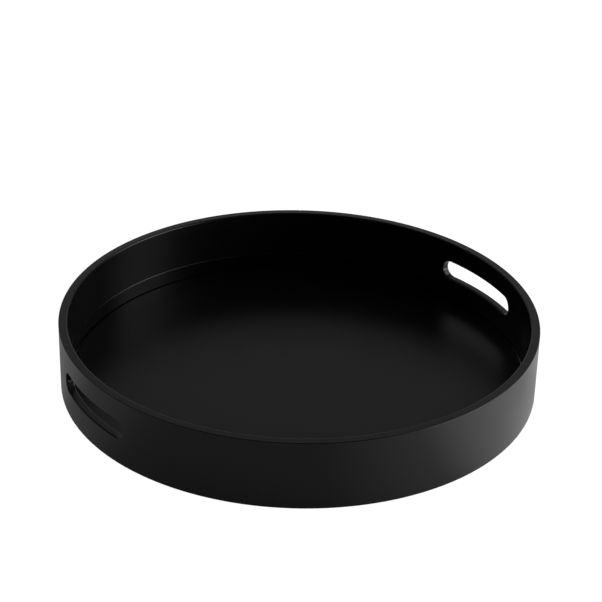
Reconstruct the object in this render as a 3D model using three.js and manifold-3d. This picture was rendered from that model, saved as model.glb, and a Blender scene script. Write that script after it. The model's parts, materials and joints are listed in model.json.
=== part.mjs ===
// Round serving tray: a hoop of three bent veneer plies glued around a thin base panel.
// Two finger slots go through the hoop.
// Millimetres, +Z up. The origin is the centre of the tray, on the surface that it stands on.
// +X and -X point out through the two finger slots.

import * as THREE from 'three';
import { mergeVertices } from 'three/addons/utils/BufferGeometryUtils.js';
import Module from 'manifold-3d';

const wasm = await Module();
wasm.setup();

// Driving dimensions of the whole tray.
const trayDiameter = 400;
const trayHeight = 58.5;
const wallThickness = 7.5;
const floorHeight = 3.8; // top of the base panel above the table

// How the wall is built up.
const plyCount = 3;
const glueLine = 0.3; // gap left at every glued face
const outerEdgeRadius = 0.5; // eased corners on the outside of the hoop
const innerEdgeRadius = 1.0; // the rounder corner at the top of its inside
const seamGap = 0.3; // where the two ends of one ply meet
const seamDegrees = { inner: 137.5, core: -104.7, outer: 56.5 };

// Base panel.
const panelThickness = 3.2;
const panelEdgeRadius = 0.4;

// Finger slots, cut straight through the wall along X.
const slotLength = 94.2;
const slotHeight = 16.6;
const slotCentreHeight = 31.3;

// Fineness of round shapes.
const turnSteps = 120; // facets around the tray
const slotEndSteps = 14; // facets in each half-round slot end
const edgeSteps = 3; // facets in each eased corner
const mergeTolerance = 1e-3; // points closer than this are one corner

// Satin black lacquer, a little smoother on the flat panel than on the bent wall.
const lacquerColour = 0x141414;
const wallRoughness = 0.3;
const panelRoughness = 0.25;

// Worked out from the values above.
const trayRadius = trayDiameter / 2;
const wallInnerRadius = trayRadius - wallThickness;
const plyThickness = (wallThickness - (plyCount - 1) * glueLine) / plyCount;
const plyPitch = plyThickness + glueLine;
const plyInnerRadius = {
  inner: wallInnerRadius,
  core: wallInnerRadius + plyPitch,
  outer: wallInnerRadius + 2 * plyPitch,
};
const panelRadius = wallInnerRadius - glueLine; // the panel is glued inside the hoop
const panelUnderside = floorHeight - panelThickness;
const cutterReach = 4 * wallThickness; // how far the cutters stand out on each side of the wall

function blackLacquer(roughness) {
  return new THREE.MeshStandardMaterial({ color: lacquerColour, roughness, metalness: 0 });
}

// A closed three.js geometry as a manifold-3d solid.
function solidOf(geometry) {
  geometry.deleteAttribute('normal');
  geometry.deleteAttribute('uv');
  const merged = mergeVertices(geometry, mergeTolerance);
  const vertProperties = new Float32Array(merged.attributes.position.array);
  const triVerts = new Uint32Array(merged.index.array);
  return new wasm.Manifold(new wasm.Mesh({ numProp: 3, vertProperties, triVerts }));
}

// A manifold-3d solid as a three.js geometry.
function geometryOf(solid) {
  const { vertProperties, triVerts } = solid.getMesh();
  const geometry = new THREE.BufferGeometry();
  geometry.setAttribute('position', new THREE.BufferAttribute(vertProperties, 3));
  geometry.setIndex(new THREE.BufferAttribute(triVerts, 1));
  geometry.computeVertexNormals();
  return geometry;
}

// A quarter-round corner of a lathe profile, from startDegrees through 90 degrees anticlockwise.
function easedCorner(centreRadius, centreHeight, radius, startDegrees) {
  return Array.from({ length: edgeSteps + 1 }, (_, step) => {
    const angle = THREE.MathUtils.degToRad(startDegrees + (90 * step) / edgeSteps);
    return new THREE.Vector2(
      centreRadius + radius * Math.cos(angle),
      centreHeight + radius * Math.sin(angle),
    );
  });
}

// A lathe about +Z. The profile is (radius, height) points, anticlockwise, from the axis or closed on itself.
function turned(profile) {
  const geometry = new THREE.LatheGeometry(profile, turnSteps);
  geometry.rotateX(Math.PI / 2);
  return geometry;
}

// A full ring of rectangular section and the tray's height. Easing gives the radius of each eased corner.
function ring(innerRadius, outerRadius, easing) {
  const corners = [
    { name: 'innerBottom', radius: innerRadius, height: 0, inwardR: 1, inwardZ: 1, start: 180 },
    { name: 'outerBottom', radius: outerRadius, height: 0, inwardR: -1, inwardZ: 1, start: 270 },
    { name: 'outerTop', radius: outerRadius, height: trayHeight, inwardR: -1, inwardZ: -1, start: 0 },
    { name: 'innerTop', radius: innerRadius, height: trayHeight, inwardR: 1, inwardZ: -1, start: 90 },
  ];
  const profile = corners.flatMap((corner) => {
    const eased = easing[corner.name];
    if (!eased) return [new THREE.Vector2(corner.radius, corner.height)];
    const centreRadius = corner.radius + corner.inwardR * eased;
    const centreHeight = corner.height + corner.inwardZ * eased;
    return easedCorner(centreRadius, centreHeight, eased, corner.start);
  });
  profile.push(profile[0].clone());
  return solidOf(turned(profile));
}

// The stadium-shaped cutter of the finger slot on the side given by direction, +1 for +X and -1 for -X.
function slotCutter(direction) {
  const endRadius = slotHeight / 2;
  const halfStraight = slotLength / 2 - endRadius;
  const outline = new THREE.Shape();
  outline.absarc(halfStraight, 0, endRadius, -Math.PI / 2, Math.PI / 2, false);
  outline.absarc(-halfStraight, 0, endRadius, Math.PI / 2, (3 * Math.PI) / 2, false);
  const depth = 2 * cutterReach;
  const geometry = new THREE.ExtrudeGeometry(outline, {
    depth,
    bevelEnabled: false,
    curveSegments: slotEndSteps,
  });
  geometry.translate(0, 0, -depth / 2);
  geometry.rotateX(Math.PI / 2);
  geometry.rotateZ(Math.PI / 2);
  geometry.translate(direction * (trayRadius - wallThickness), 0, slotCentreHeight);
  return solidOf(geometry);
}

// The thin cutter that parts a ply where its two ends meet.
function seamCutter(degrees) {
  const geometry = new THREE.BoxGeometry(cutterReach, seamGap, 2 * trayHeight);
  geometry.translate(trayRadius, 0, trayHeight / 2);
  geometry.rotateZ(THREE.MathUtils.degToRad(degrees));
  return solidOf(geometry);
}

// One bent ply of the hoop: a ring with its seam and both finger slots cut out.
function ply(name, layer, easing) {
  const innerRadius = plyInnerRadius[layer];
  const solid = ring(innerRadius, innerRadius + plyThickness, easing)
    .subtract(seamCutter(seamDegrees[layer]))
    .subtract(slotCutter(1))
    .subtract(slotCutter(-1));
  const mesh = new THREE.Mesh(geometryOf(solid), blackLacquer(wallRoughness));
  mesh.name = name;
  return mesh;
}

// The hoop: three plies of one height, whose lower edges stand on the table.
function hoop() {
  const group = new THREE.Group();
  group.add(ply('rim_outer_ply', 'outer', { outerBottom: outerEdgeRadius, outerTop: outerEdgeRadius }));
  group.add(ply('rim_core_ply', 'core', {}));
  group.add(ply('rim_inner_ply', 'inner', { innerTop: innerEdgeRadius }));
  return group;
}

// The round base panel, set a little above the table inside the hoop.
function basePanel() {
  const bottomCorner = easedCorner(
    panelRadius - panelEdgeRadius,
    panelUnderside + panelEdgeRadius,
    panelEdgeRadius,
    270,
  );
  const profile = [
    new THREE.Vector2(0, panelUnderside),
    ...bottomCorner,
    new THREE.Vector2(panelRadius, floorHeight),
    new THREE.Vector2(0, floorHeight),
  ];
  const mesh = new THREE.Mesh(geometryOf(solidOf(turned(profile))), blackLacquer(panelRoughness));
  mesh.name = 'base_panel';
  return mesh;
}

const tray = new THREE.Group();
tray.add(hoop());
tray.add(basePanel());

export default tray;
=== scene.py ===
"""The looks of the round serving tray: a black lacquered bentwood hoop, its base panel and a plain studio.

Metres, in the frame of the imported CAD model: +Z up, the finger slots on +X and -X, and the origin under the
middle of the tray, on the table.
"""

import itertools
import json
import math

import bpy
from mathutils import Matrix, Quaternion, Vector


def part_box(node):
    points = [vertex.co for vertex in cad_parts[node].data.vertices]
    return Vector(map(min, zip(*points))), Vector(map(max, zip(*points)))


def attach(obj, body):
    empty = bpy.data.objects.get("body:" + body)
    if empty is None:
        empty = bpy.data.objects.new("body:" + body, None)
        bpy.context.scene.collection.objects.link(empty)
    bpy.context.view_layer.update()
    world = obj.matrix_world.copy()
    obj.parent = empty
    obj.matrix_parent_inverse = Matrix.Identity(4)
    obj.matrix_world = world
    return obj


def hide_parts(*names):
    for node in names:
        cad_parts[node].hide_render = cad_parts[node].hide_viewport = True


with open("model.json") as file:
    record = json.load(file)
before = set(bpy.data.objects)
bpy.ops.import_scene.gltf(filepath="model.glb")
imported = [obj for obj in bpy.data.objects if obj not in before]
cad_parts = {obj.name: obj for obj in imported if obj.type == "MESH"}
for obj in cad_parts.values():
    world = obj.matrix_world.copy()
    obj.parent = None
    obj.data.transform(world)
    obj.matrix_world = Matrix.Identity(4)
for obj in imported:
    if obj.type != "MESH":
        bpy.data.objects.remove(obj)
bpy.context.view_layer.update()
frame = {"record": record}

MM = 0.001
BODY = "root"
FULL_TURN = 360
HALF_TURN = 180
WHITE = (1, 1, 1, 1)

# The camera, as the photographer stands: angles in degrees, distance in tray radii.
CAMERA_AZIMUTH = -34.01
CAMERA_ELEVATION = 30.61
CAMERA_DISTANCE = 7.829
CAMERA_LENS = 110.1
CAMERA_TILT_UP = 2.262
CAMERA_PAN_RIGHT = 0.032
CAMERA_ROLL_LEFT = 1.404

# Small shapes that lacquer and sandpaper leave on the wood, and the azimuths of the seams in degrees.
OUTER_EDGE = 0.5 * MM
INNER_EDGE = 1.3 * MM
SLOT_INNER_LIP = 2.0 * MM
SLOT_OUTER_LIP = 1.3 * MM
GLUED_EDGE = 0.05 * MM
GLUE_LINE = 0.3 * MM
PANEL_EDGE = 1.2 * MM
SEAM_GAP = 0.15 * MM
SEAM_EDGE = 0.5 * MM
SEAM_AZIMUTHS = {"inner": 137.5, "core": -104.7, "outer": 56.5}

# Fineness of the meshes, with angles in degrees. Points that share a cell of the weld grid become one, and
# each cell reaches into its neighbours by the overlap, a share of a cell. The patch's rings are shares of
# the way from the slot's lip to the patch's border.
WELD = 0.001 * MM
WELD_OVERLAP = 0.1
EDGE_STEPS = 8
GLUED_EDGE_STEPS = 2
SEAM_EDGE_STEPS = 3
WALL_ROWS = 12
PLAIN_COLUMN = 1.5
PATCH_HALF_ANGLE = 20
PATCH_RINGS = (0, 0.06, 0.15, 0.3, 0.5, 0.75, 1)
ARC_STEPS = 24
STRAIGHT_STEPS = 24
PATCH_SIDE_STEPS = ARC_STEPS // 2
PATCH_END_STEPS = STRAIGHT_STEPS + ARC_STEPS // 2
TUNNEL_STEPS = 2
PANEL_COLUMNS = 240
PANEL_RINGS = 8

# Lacquer. Bump heights are in metres, noise scales are per metre, and the ranges are of noise from 0 to 1.
WALL_ROUGHNESS = 0.30
PANEL_ROUGHNESS = 0.32
LACQUER_DARK = (0.0018, 0.0018, 0.0020)
LACQUER_LIGHT = (0.0032, 0.0031, 0.0030)
DUST = (0.008, 0.0075, 0.007)
CLOUD_SCALE = 22
CLOUD_RANGE = (0.3, 0.7)
SPECK_SCALE = 1400
SPECK_RANGE = (0.72, 0.8)
PEEL_SCALE = 420
PEEL_HEIGHT = 0.02 * MM
GRAIN_HEIGHT = 0.015 * MM
GRAIN_ALONG = 8
GRAIN_ACROSS = 900
COAT_TOP = 17.5 * MM
COAT_FADE = 0.6 * MM
COAT_HEIGHT = 0.3 * MM
COAT_ROUGHNESS = -0.1
ROUGHNESS_CLOUDS = 0.02
EDGE_POLISH = 0.06

# Studio: radiances. A glow is (azimuth, elevation, inner angle, outer angle, strength), angles in degrees.
FLOOR_SIZE = 12
FLOOR_GLOW = 1.0
FLOOR_GREY = 0.25
KEY_RADIANCE = 2.2
ROOM_LIGHT = 0.03
ROOM_GLOWS = (
    (87, 0, 0, 42, 0.42),
    (35, 38, 0, 40, 0.17),
    (140, 38, 5, 40, 0.1),
    (-12, 3, 4, 13, 5.0),
    (-27, 4, 4, 12, 6.0),
)
# The hidden table's glow is painted light: an even painted light, patches of painted light by direction from
# the tray, and a painted shadow that darkens it near the tray's foot over a reach in metres.
TABLE_DEPTH = 0.3 * MM
TABLE_GREY = 0.35
TABLE_PAINTED_LIGHT = 0.16
TABLE_PAINTED_LIGHT_POOLS = (
    (-35, 0, 0, 50, 0.25),
    (-27, 0, 0, 27, 0.48),
    (27, 0, 20, 40, 0.55),
    (177, 0, 0, 22, 0.2),
    (-157, 0, 5, 22, 0.08),
)
TABLE_PAINTED_SHADE = 0.8
TABLE_PAINTED_SHADE_REACH = 0.1

# ---------------------------------------------------------------------------------------------------------
# Sizes from the frame
# ---------------------------------------------------------------------------------------------------------


def named(rows, name):
    """The row of a list in the record that has this name."""
    return next(row for row in rows if row["name"] == name)


record = frame["record"]
tray_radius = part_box("rim_outer_ply")[1].x
tray_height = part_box("rim_outer_ply")[1].z
panel_low, panel_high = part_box("base_panel")
wall_radius = panel_high.x + GLUE_LINE
inner_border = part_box("rim_inner_ply")[1].x + GLUE_LINE / 2
core_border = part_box("rim_core_ply")[1].x + GLUE_LINE / 2

slot_low, slot_high = named(record["physics"]["openings"], "finger_slot_plus_x")["box_m"]
slot_top = named(record["mounts"], "grip_plus_x")["pos_m"][2]
slot_centre = (slot_low[2] + slot_high[2]) / 2
slot_half_straight = slot_high[1]
slot_end_radius = slot_top - slot_centre


# ---------------------------------------------------------------------------------------------------------
# Meshes
# ---------------------------------------------------------------------------------------------------------


class Skin:
    """Gathers grids of surface points and welds them into one closed mesh with exact normals.

    A surface point is (position, normal, edge), where edge runs from 0 on a face to 1 on an eased corner.
    """

    def __init__(self):
        self.index = {}
        self.positions = []
        self.edges = []
        self.faces = []
        self.normals = []

    def vertex(self, point):
        """The vertex at a point. Points weld when they share a cell of a fine grid with overlapping cells."""
        position, _, edge = point
        steps = [value / WELD for value in position]
        spans = [{round(step - WELD_OVERLAP), round(step + WELD_OVERLAP)} for step in steps]
        cells = list(itertools.product(*spans))
        vertex = next((self.index[cell] for cell in cells if cell in self.index), len(self.positions))
        if vertex == len(self.positions):
            self.positions.append(position)
            self.edges.append(edge)
        for cell in cells:
            self.index.setdefault(cell, vertex)
        return vertex

    def face(self, points):
        """Adds a face, turned so that it looks along its normals, without points that weld together."""
        corners = {}
        for point in points:
            corners.setdefault(self.vertex(point), point)
        if len(corners) < 3:
            return
        corners = list(corners.items())
        centre = sum((point[0] for _, point in corners), Vector()) / len(corners)
        looks = sum((point[1] for _, point in corners), Vector())
        winding = Vector()
        for (_, here), (_, there) in zip(corners, corners[1:] + corners[:1]):
            winding += (here[0] - centre).cross(there[0] - centre)
        if winding.dot(looks) < 0:
            corners.reverse()
        self.faces.append([vertex for vertex, _ in corners])
        self.normals.extend(point[1] for _, point in corners)

    def grid(self, rows):
        """Adds the faces between rows of surface points."""
        for row, next_row in zip(rows, rows[1:]):
            for step in range(len(row) - 1):
                self.face([row[step], row[step + 1], next_row[step + 1], next_row[step]])

    def piece(self, name, node, material):
        """The finished object, which stands for a CAD node and takes its place on the tray."""
        mesh = bpy.data.meshes.new(name)
        mesh.from_pydata(self.positions, [], self.faces)
        mesh.shade_smooth()
        mesh.normals_split_custom_set(self.normals)
        attribute = mesh.attributes.new("edge", "FLOAT", "POINT")
        attribute.data.foreach_set("value", self.edges)
        mesh.materials.append(material)
        piece = bpy.data.objects.new(name, mesh)
        bpy.context.scene.collection.objects.link(piece)
        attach(piece, BODY)
        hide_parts(node)
        return piece


def between(start, end, steps):
    """Evenly spaced values from start to end, both included."""
    return [start + (end - start) * step / steps for step in range(steps + 1)]


def radial(azimuth):
    return Vector((math.cos(azimuth), math.sin(azimuth), 0))


def turned(section_point, azimuth):
    """A section's (radius, height, normal radius, normal height, edge) as a surface point at an azimuth."""
    radius, height, normal_radius, normal_height, edge = section_point
    out = radial(azimuth)
    position = out * radius + Vector((0, 0, height))
    normal = out * normal_radius + Vector((0, 0, normal_height))
    return position, normal, edge


def swept(section, azimuths):
    return [[turned(point, azimuth) for azimuth in azimuths] for point in section]


def eased_corner(radius, height, easing, start):
    """A quarter round of a section about its own centre, clockwise from an angle in degrees."""
    steps = EDGE_STEPS if easing > GLUED_EDGE else GLUED_EDGE_STEPS
    points = []
    for turn in between(0, math.pi / 2, steps):
        angle = math.radians(start) - turn
        across, up = math.cos(angle), math.sin(angle)
        points.append((radius + easing * across, height + easing * up, across, up, math.sin(2 * turn)))
    return points


def wall_line(radius, start, end, facing):
    """The straight side of a section at a radius, between two heights."""
    return [(radius, height, facing, 0, 0) for height in between(start, end, WALL_ROWS)]


class Section:
    """A ply's outline across the wall: its two sides, and its top and bottom with their eased corners."""

    def __init__(self, inner, outer, inner_top, outer_top, outer_bottom):
        inner_bottom = GLUED_EDGE
        self.inner = inner
        self.outer = outer
        self.top = eased_corner(inner + inner_top, tray_height - inner_top, inner_top, 180)
        self.top += eased_corner(outer - outer_top, tray_height - outer_top, outer_top, 90)
        self.bottom = eased_corner(outer - outer_bottom, outer_bottom, outer_bottom, 0)
        self.bottom += eased_corner(inner + inner_bottom, inner_bottom, inner_bottom, -90)
        self.inner_side = wall_line(inner, inner_bottom, tray_height - inner_top, -1)
        self.outer_side = wall_line(outer, tray_height - outer_top, outer_bottom, 1)

    def outline(self):
        """The whole closed outline, clockwise from the foot of the inner side."""
        return self.inner_side + self.top[1:] + self.outer_side[1:] + self.bottom[1:]


def slot_outline(widening):
    """The finger slot's outline as (y, z, outward y, outward z), widened all round.

    It runs anticlockwise from 45 degrees below the right end's middle, and ends where it starts.
    """
    radius = slot_end_radius + widening
    quarter = ARC_STEPS // 4

    def arc(side, start, end, steps):
        angles = [math.radians(angle) for angle in between(start, end, steps)]
        return [
            (side * slot_half_straight + radius * math.cos(a), slot_centre + radius * math.sin(a),
             math.cos(a), math.sin(a))
            for a in angles
        ]

    def straight(facing):
        places = between(facing * slot_half_straight, -facing * slot_half_straight, STRAIGHT_STEPS)
        return [(y, slot_centre + facing * radius, 0, facing) for y in places]

    points = arc(1, -45, 90, 3 * quarter)
    points += straight(1)[1:]
    points += arc(-1, 90, 270, ARC_STEPS)[1:]
    points += straight(-1)[1:]
    points += arc(1, -90, -45, quarter)[1:]
    return points


def patch_border(low, high):
    """The rectangle round a slot as (azimuth, height), step for step with slot_outline."""
    side = math.radians(PATCH_HALF_ANGLE)
    border = [(side, height) for height in between(low, high, PATCH_SIDE_STEPS)]
    border += [(azimuth, high) for azimuth in between(side, -side, PATCH_END_STEPS)][1:]
    border += [(-side, height) for height in between(high, low, PATCH_SIDE_STEPS)][1:]
    border += [(azimuth, low) for azimuth in between(-side, side, PATCH_END_STEPS)][1:]
    return border


def slot_face(radius, low, high, facing, lip):
    """The wall's surface round the +X slot, with the lip that leads into it, as rows of surface points."""
    border = patch_border(low, high)
    rows = []
    for share in reversed(PATCH_RINGS):
        row = []
        for (y, z, _, _), (azimuth, height) in zip(slot_outline(lip), border):
            angle = math.asin(y / radius) * (1 - share) + azimuth * share
            level = z * (1 - share) + height * share
            row.append((radial(angle) * radius + Vector((0, 0, level)), radial(angle) * facing, 0))
        rows.append(row)
    steps = EDGE_STEPS if lip > GLUED_EDGE else GLUED_EDGE_STEPS
    for turn in between(0, math.pi / 2, steps):
        sunk = lip * (1 - math.cos(turn))
        row = []
        for y, z, out_y, out_z in slot_outline(lip * (1 - math.sin(turn))):
            x = math.sqrt(radius**2 - y**2) - facing * sunk
            face_normal = radial(math.asin(y / radius)) * facing
            normal = face_normal * math.cos(turn) - Vector((0, out_y, out_z)) * math.sin(turn)
            row.append((Vector((x, y, z)), normal.normalized(), math.sin(2 * turn)))
        rows.append(row)
    return rows


def slot_tunnel(inner, outer, inner_lip, outer_lip):
    """The slot's straight inside, from the inner lip to the outer one."""
    rows = []
    for share in between(0, 1, TUNNEL_STEPS):
        row = []
        for y, z, out_y, out_z in slot_outline(0):
            start = math.sqrt(inner**2 - y**2) + inner_lip
            end = math.sqrt(outer**2 - y**2) - outer_lip
            row.append((Vector((start + (end - start) * share, y, z)), -Vector((0, out_y, out_z)), 0))
        rows.append(row)
    return rows


def half_turn(rows):
    """The same rows on the other side of the tray."""
    turn = Matrix.Rotation(math.pi, 3, "Z")
    return [[(turn @ position, turn @ normal, edge) for position, normal, edge in row] for row in rows]


def plain_columns(start, end):
    """Azimuths in radians of a plain stretch of wall between two angles in degrees."""
    steps = max(1, math.ceil((end - start) / PLAIN_COLUMN))
    return [math.radians(angle) for angle in between(start, end, steps)]


def patch_columns(middle):
    """Azimuths in radians above and below the slot at this angle in degrees."""
    low, high = middle - PATCH_HALF_ANGLE, middle + PATCH_HALF_ANGLE
    return [math.radians(angle) for angle in between(low, high, PATCH_END_STEPS)]


def seam_end(skin, section, azimuth, direction):
    """Closes one end of a ply past an azimuth in radians, with eased edges.

    The end face looks anticlockwise round the tray when the direction is 1, and clockwise when it is -1.
    """
    along = Vector((-math.sin(azimuth), math.cos(azimuth), 0)) * direction
    middle, half_width = (section.outer + section.inner) / 2, (section.outer - section.inner) / 2
    half_height = tray_height / 2
    rows = []
    for turn in between(0, math.pi / 2, SEAM_EDGE_STEPS):
        sunk = SEAM_EDGE * (1 - math.cos(turn))
        row = []
        for radius, height, across, up, edge in section.outline():
            radius = middle + (radius - middle) * (1 - sunk / half_width)
            height = half_height + (height - half_height) * (1 - sunk / half_height)
            position, normal, _ = turned((radius, height, across, up, edge), azimuth)
            normal = normal * math.cos(turn) + along * math.sin(turn)
            row.append((position + along * SEAM_EDGE * math.sin(turn), normal.normalized(), edge))
        rows.append(row)
    skin.grid(rows)
    skin.face([(position, along, edge) for position, _, edge in rows[-1]])


def ply(layer, section, inner_lip, outer_lip, material):
    """One bent ply: a ring that is open at its seam, with both finger slots through it."""
    skin = Skin()
    seam = SEAM_AZIMUTHS[layer] % FULL_TURN
    seam_room = math.degrees((SEAM_GAP / 2 + SEAM_EDGE) / section.outer)
    start, end = seam + seam_room, seam + FULL_TURN - seam_room
    middles = [middle for middle in range(0, 2 * FULL_TURN, HALF_TURN) if seam < middle < seam + FULL_TURN]
    for middle in middles:
        skin.grid(swept(section.outline(), plain_columns(start, middle - PATCH_HALF_ANGLE)))
        skin.grid(swept(section.top, patch_columns(middle)))
        skin.grid(swept(section.bottom, patch_columns(middle)))
        start = middle + PATCH_HALF_ANGLE
    skin.grid(swept(section.outline(), plain_columns(start, end)))
    seam_end(skin, section, math.radians(seam + seam_room), -1)
    seam_end(skin, section, math.radians(end), 1)

    inner_low, inner_high = section.inner_side[0][1], section.inner_side[-1][1]
    outer_low, outer_high = section.outer_side[-1][1], section.outer_side[0][1]
    for rows in (
        slot_face(section.inner, inner_low, inner_high, -1, inner_lip),
        slot_face(section.outer, outer_low, outer_high, 1, outer_lip),
        slot_tunnel(section.inner, section.outer, inner_lip, outer_lip),
    ):
        skin.grid(rows)
        skin.grid(half_turn(rows))
    return skin.piece(f"{layer}_ply_lacquered", f"rim_{layer}_ply", material)


def base_panel(material):
    """The thin round floor of the tray, with its edges eased."""
    flat_radius = panel_high.x - PANEL_EDGE
    outline = [(radius, panel_high.z, 0, 1, 0) for radius in between(0, flat_radius, PANEL_RINGS)]
    outline += eased_corner(flat_radius, panel_high.z - PANEL_EDGE, PANEL_EDGE, 90)[1:]
    outline += eased_corner(flat_radius, panel_low.z + PANEL_EDGE, PANEL_EDGE, 0)
    outline += [(radius, panel_low.z, 0, -1, 0) for radius in between(flat_radius, 0, PANEL_RINGS)][1:]
    skin = Skin()
    skin.grid(swept(outline, between(0, math.tau, PANEL_COLUMNS)))
    return skin.piece("base_panel_lacquered", "base_panel", material)


# ---------------------------------------------------------------------------------------------------------
# Materials
# ---------------------------------------------------------------------------------------------------------


def add(tree, kind, inputs=None, **settings):
    """A new node with its settings. Its inputs are linked to sockets or filled with values."""
    node = tree.nodes.new(kind)
    for key, value in settings.items():
        setattr(node, key, value)
    for key, value in (inputs or {}).items():
        if isinstance(value, bpy.types.NodeSocket):
            tree.links.new(value, node.inputs[key])
        else:
            node.inputs[key].default_value = value
    return node


def calculate(tree, operation, *values):
    return add(tree, "ShaderNodeMath", dict(enumerate(values)), operation=operation).outputs[0]


def noise(tree, vector, scale, detail=2, roughness=0.5):
    inputs = {"Vector": vector, "Scale": scale, "Detail": detail, "Roughness": roughness}
    return add(tree, "ShaderNodeTexNoise", inputs).outputs["Fac"]


def ranged(tree, value, low, high, to_low, to_high, **settings):
    inputs = {"Value": value, "From Min": low, "From Max": high, "To Min": to_low, "To Max": to_high}
    return add(tree, "ShaderNodeMapRange", inputs, **settings).outputs["Result"]


def colour_between(tree, share, low, high):
    """A mix of two colours, each given as a value or as a socket."""
    share_socket, low_socket, high_socket, colour_socket = 0, 6, 7, 2
    inputs = {share_socket: share, low_socket: low, high_socket: high}
    return add(tree, "ShaderNodeMix", inputs, data_type="RGBA").outputs[colour_socket]


def bumped(tree, height, distance, normal=None):
    """A surface raised by a height from 0 to 1 over a distance, on top of the bumps it already has."""
    inputs = {"Height": height, "Distance": distance}
    if normal is not None:
        inputs["Normal"] = normal
    return add(tree, "ShaderNodeBump", inputs).outputs["Normal"]


def bent_grain(tree, position):
    """Fine lines that run round the hoop, as veneer grain shows through lacquer."""
    parts = add(tree, "ShaderNodeSeparateXYZ", {"Vector": position}).outputs
    squares = [calculate(tree, "POWER", parts[axis], 2) for axis in ("X", "Y")]
    radius = calculate(tree, "SQRT", calculate(tree, "ADD", *squares))
    across = calculate(tree, "ADD", radius, parts["Z"])
    inputs = {
        "X": calculate(tree, "MULTIPLY", parts["X"], GRAIN_ALONG),
        "Y": calculate(tree, "MULTIPLY", parts["Y"], GRAIN_ALONG),
        "Z": calculate(tree, "MULTIPLY", across, GRAIN_ACROSS),
    }
    vector = add(tree, "ShaderNodeCombineXYZ", inputs).outputs["Vector"]
    return noise(tree, vector, 1, detail=3, roughness=0.6)


def lacquer(name, roughness, grained, coated):
    """Satin black lacquer: orange peel, a cloudy gloss, a little dust, and corners that are rubbed smooth.

    A coated piece has a second, glossier coat on its foot, which ends in a fine step.
    """
    material = bpy.data.materials.new(name)
    material.use_nodes = True
    tree = material.node_tree
    shader = tree.nodes["Principled BSDF"]
    position = add(tree, "ShaderNodeTexCoord").outputs["Object"]
    edge = add(tree, "ShaderNodeAttribute", attribute_name="edge").outputs["Fac"]

    clouds = noise(tree, position, CLOUD_SCALE, detail=4)
    specks = ranged(tree, noise(tree, position, SPECK_SCALE, detail=1), *SPECK_RANGE, 0, 1)
    tint = colour_between(tree, clouds, (*LACQUER_DARK, 1), (*LACQUER_LIGHT, 1))
    dusted = colour_between(tree, specks, tint, (*DUST, 1))
    tree.links.new(dusted, shader.inputs["Base Color"])

    smooth, rough = roughness - ROUGHNESS_CLOUDS, roughness + ROUGHNESS_CLOUDS
    gloss = ranged(tree, clouds, *CLOUD_RANGE, smooth, rough)
    rubbed = calculate(tree, "MULTIPLY", edge, EDGE_POLISH)
    gloss = calculate(tree, "SUBTRACT", gloss, rubbed)
    normal = bumped(tree, noise(tree, position, PEEL_SCALE), PEEL_HEIGHT)
    if grained:
        normal = bumped(tree, bent_grain(tree, position), GRAIN_HEIGHT, normal)
    if coated:
        height = add(tree, "ShaderNodeSeparateXYZ", {"Vector": position}).outputs["Z"]
        coat = ranged(tree, height, COAT_TOP, COAT_TOP - COAT_FADE, 0, 1)
        gloss = calculate(tree, "ADD", gloss, calculate(tree, "MULTIPLY", coat, COAT_ROUGHNESS))
        normal = bumped(tree, coat, COAT_HEIGHT, normal)
    tree.links.new(gloss, shader.inputs["Roughness"])
    tree.links.new(normal, shader.inputs["Normal"])
    return material


def rim_lacquer():
    return lacquer("rim_lacquer_black", WALL_ROUGHNESS, grained=True, coated=False)


def inside_lacquer():
    return lacquer("inside_lacquer_black", WALL_ROUGHNESS, grained=True, coated=True)


def panel_lacquer():
    return lacquer("panel_lacquer_black", PANEL_ROUGHNESS, grained=False, coated=False)


# ---------------------------------------------------------------------------------------------------------
# Studio
# ---------------------------------------------------------------------------------------------------------


def studio_direction(azimuth, elevation):
    """A direction as the photographer sees it: azimuth 0 is to the right and 90 behind the tray."""
    azimuth, elevation = math.radians(azimuth + CAMERA_AZIMUTH), math.radians(elevation)
    return radial(azimuth) * math.cos(elevation) + Vector((0, 0, math.sin(elevation)))


def place_camera():
    back = studio_direction(-90, CAMERA_ELEVATION)
    tilt = Quaternion((1, 0, 0), math.radians(CAMERA_TILT_UP))
    pan = Quaternion((0, 1, 0), -math.radians(CAMERA_PAN_RIGHT))
    roll = Quaternion((0, 0, 1), math.radians(CAMERA_ROLL_LEFT))
    data = bpy.data.cameras.new("camera")
    data.lens = CAMERA_LENS
    camera = bpy.data.objects.new("camera", data)
    camera.location = back * CAMERA_DISTANCE * tray_radius
    camera.rotation_mode = "QUATERNION"
    camera.rotation_quaternion = (-back).to_track_quat("-Z", "Y") @ tilt @ pan @ roll
    bpy.context.scene.collection.objects.link(camera)
    bpy.context.scene.camera = camera


def softbox(name, azimuth, elevation, distance, width, height, radiance):
    """A rectangular light that faces the tray, as bright as its radiance says whatever its size."""
    direction = studio_direction(azimuth, elevation)
    data = bpy.data.lights.new(name, "AREA")
    data.shape = "RECTANGLE"
    data.size = width
    data.size_y = height
    data.energy = radiance * math.pi * width * height
    painted_light = bpy.data.objects.new(name, data)
    painted_light.location = direction * distance
    painted_light.rotation_mode = "QUATERNION"
    painted_light.rotation_quaternion = direction.to_track_quat("Z", "Y")
    bpy.context.scene.collection.objects.link(painted_light)


def glow(tree, direction, azimuth, elevation, inner, outer, strength):
    """A soft round patch of light about a direction, in the studio's surroundings or in the table's painted
    light: full within the inner angle and gone at the outer one.
    """
    inputs = {0: direction, 1: tuple(studio_direction(azimuth, elevation))}
    cosine = add(tree, "ShaderNodeVectorMath", inputs, operation="DOT_PRODUCT").outputs["Value"]
    limits = math.cos(math.radians(outer)), math.cos(math.radians(inner))
    return ranged(tree, cosine, *limits, 0, strength, interpolation_type="SMOOTHSTEP")


def lit(tree, direction, level, glows):
    """An even light with soft patches added to it: the studio's light in the world, and painted light on the
    table.
    """
    for patch in glows:
        level = calculate(tree, "ADD", level, glow(tree, direction, *patch))
    return level


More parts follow.
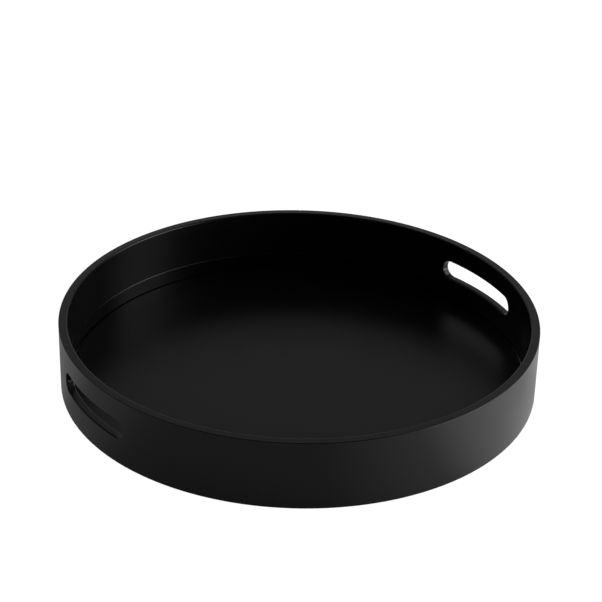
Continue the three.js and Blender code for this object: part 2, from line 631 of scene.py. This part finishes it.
def surroundings():
    """A white backdrop for the camera, and for everything else the dim studio that the lacquer reflects."""
    world = bpy.data.worlds.new("studio")
    world.use_nodes = True
    bpy.context.scene.world = world
    tree = world.node_tree
    direction = add(tree, "ShaderNodeTexCoord").outputs["Generated"]
    studio = tree.nodes["Background"]
    studio.inputs["Color"].default_value = WHITE
    tree.links.new(lit(tree, direction, ROOM_LIGHT, ROOM_GLOWS), studio.inputs["Strength"])
    backdrop = add(tree, "ShaderNodeBackground", {"Color": WHITE})
    seen = add(tree, "ShaderNodeLightPath").outputs["Is Camera Ray"]
    inputs = {0: seen, 1: studio.outputs[0], 2: backdrop.outputs[0]}
    shown = add(tree, "ShaderNodeMixShader", inputs).outputs[0]
    tree.links.new(shown, tree.nodes["World Output"].inputs["Surface"])


def sheet(name, height, grey):
    """A flat square under the tray, and its shader."""
    half = FLOOR_SIZE / 2
    mesh = bpy.data.meshes.new(name)
    corners = [(-half, -half, height), (half, -half, height), (half, half, height), (-half, half, height)]
    mesh.from_pydata(corners, [], [(0, 1, 2, 3)])
    material = bpy.data.materials.new(name)
    material.use_nodes = True
    shader = material.node_tree.nodes["Principled BSDF"]
    shader.inputs["Base Color"].default_value = (grey, grey, grey, 1)
    shader.inputs["Roughness"].default_value = 1
    shader.inputs["Specular IOR Level"].default_value = 0
    shader.inputs["Emission Color"].default_value = WHITE
    mesh.materials.append(material)
    plane = bpy.data.objects.new(name, mesh)
    bpy.context.scene.collection.objects.link(plane)
    return plane, shader


def floor():
    """The floor that the camera sees. It glows as white as the backdrop, and nothing reflects it."""
    plane, shader = sheet("floor", 0, FLOOR_GREY)
    shader.inputs["Emission Strength"].default_value = FLOOR_GLOW
    plane.visible_diffuse = False
    plane.visible_glossy = False
    plane.visible_transmission = False
    plane.visible_shadow = False


def table():
    """The table that the lacquer reflects. Its glow is painted light: brighter where the key softbox would
    light it, with a painted shadow that darkens it at the foot of the tray. The camera doesn't see it.
    """
    plane, shader = sheet("table", -TABLE_DEPTH, TABLE_GREY)
    tree = plane.data.materials[0].node_tree
    position = add(tree, "ShaderNodeTexCoord").outputs["Object"]
    direction = add(tree, "ShaderNodeVectorMath", {0: position}, operation="NORMALIZE").outputs["Vector"]
    distance = add(tree, "ShaderNodeVectorMath", {0: position}, operation="LENGTH").outputs["Value"]
    # Painted shadow near the tray's foot, times the painted light of the table's glows.
    painted_shade = ranged(tree, distance, tray_radius, tray_radius + TABLE_PAINTED_SHADE_REACH, TABLE_PAINTED_SHADE, 1)
    painted_light = calculate(tree, "MULTIPLY", lit(tree, direction, TABLE_PAINTED_LIGHT, TABLE_PAINTED_LIGHT_POOLS), painted_shade)
    tree.links.new(painted_light, shader.inputs["Emission Strength"])
    plane.visible_camera = False


def build_tray():
    rim = rim_lacquer()
    inner = Section(wall_radius, inner_border, INNER_EDGE, GLUED_EDGE, GLUED_EDGE)
    core = Section(inner_border, core_border, GLUED_EDGE, GLUED_EDGE, GLUED_EDGE)
    outer = Section(core_border, tray_radius, GLUED_EDGE, OUTER_EDGE, OUTER_EDGE)
    ply("inner", inner, SLOT_INNER_LIP, GLUED_EDGE, inside_lacquer())
    ply("core", core, GLUED_EDGE, GLUED_EDGE, rim)
    ply("outer", outer, GLUED_EDGE, SLOT_OUTER_LIP, rim)
    base_panel(panel_lacquer())


build_tray()
place_camera()
surroundings()
floor()
table()
softbox("key_softbox", azimuth=6, elevation=31, distance=1.5, width=0.8, height=1.1, radiance=KEY_RADIANCE)
bpy.context.scene.view_settings.view_transform = "Standard"
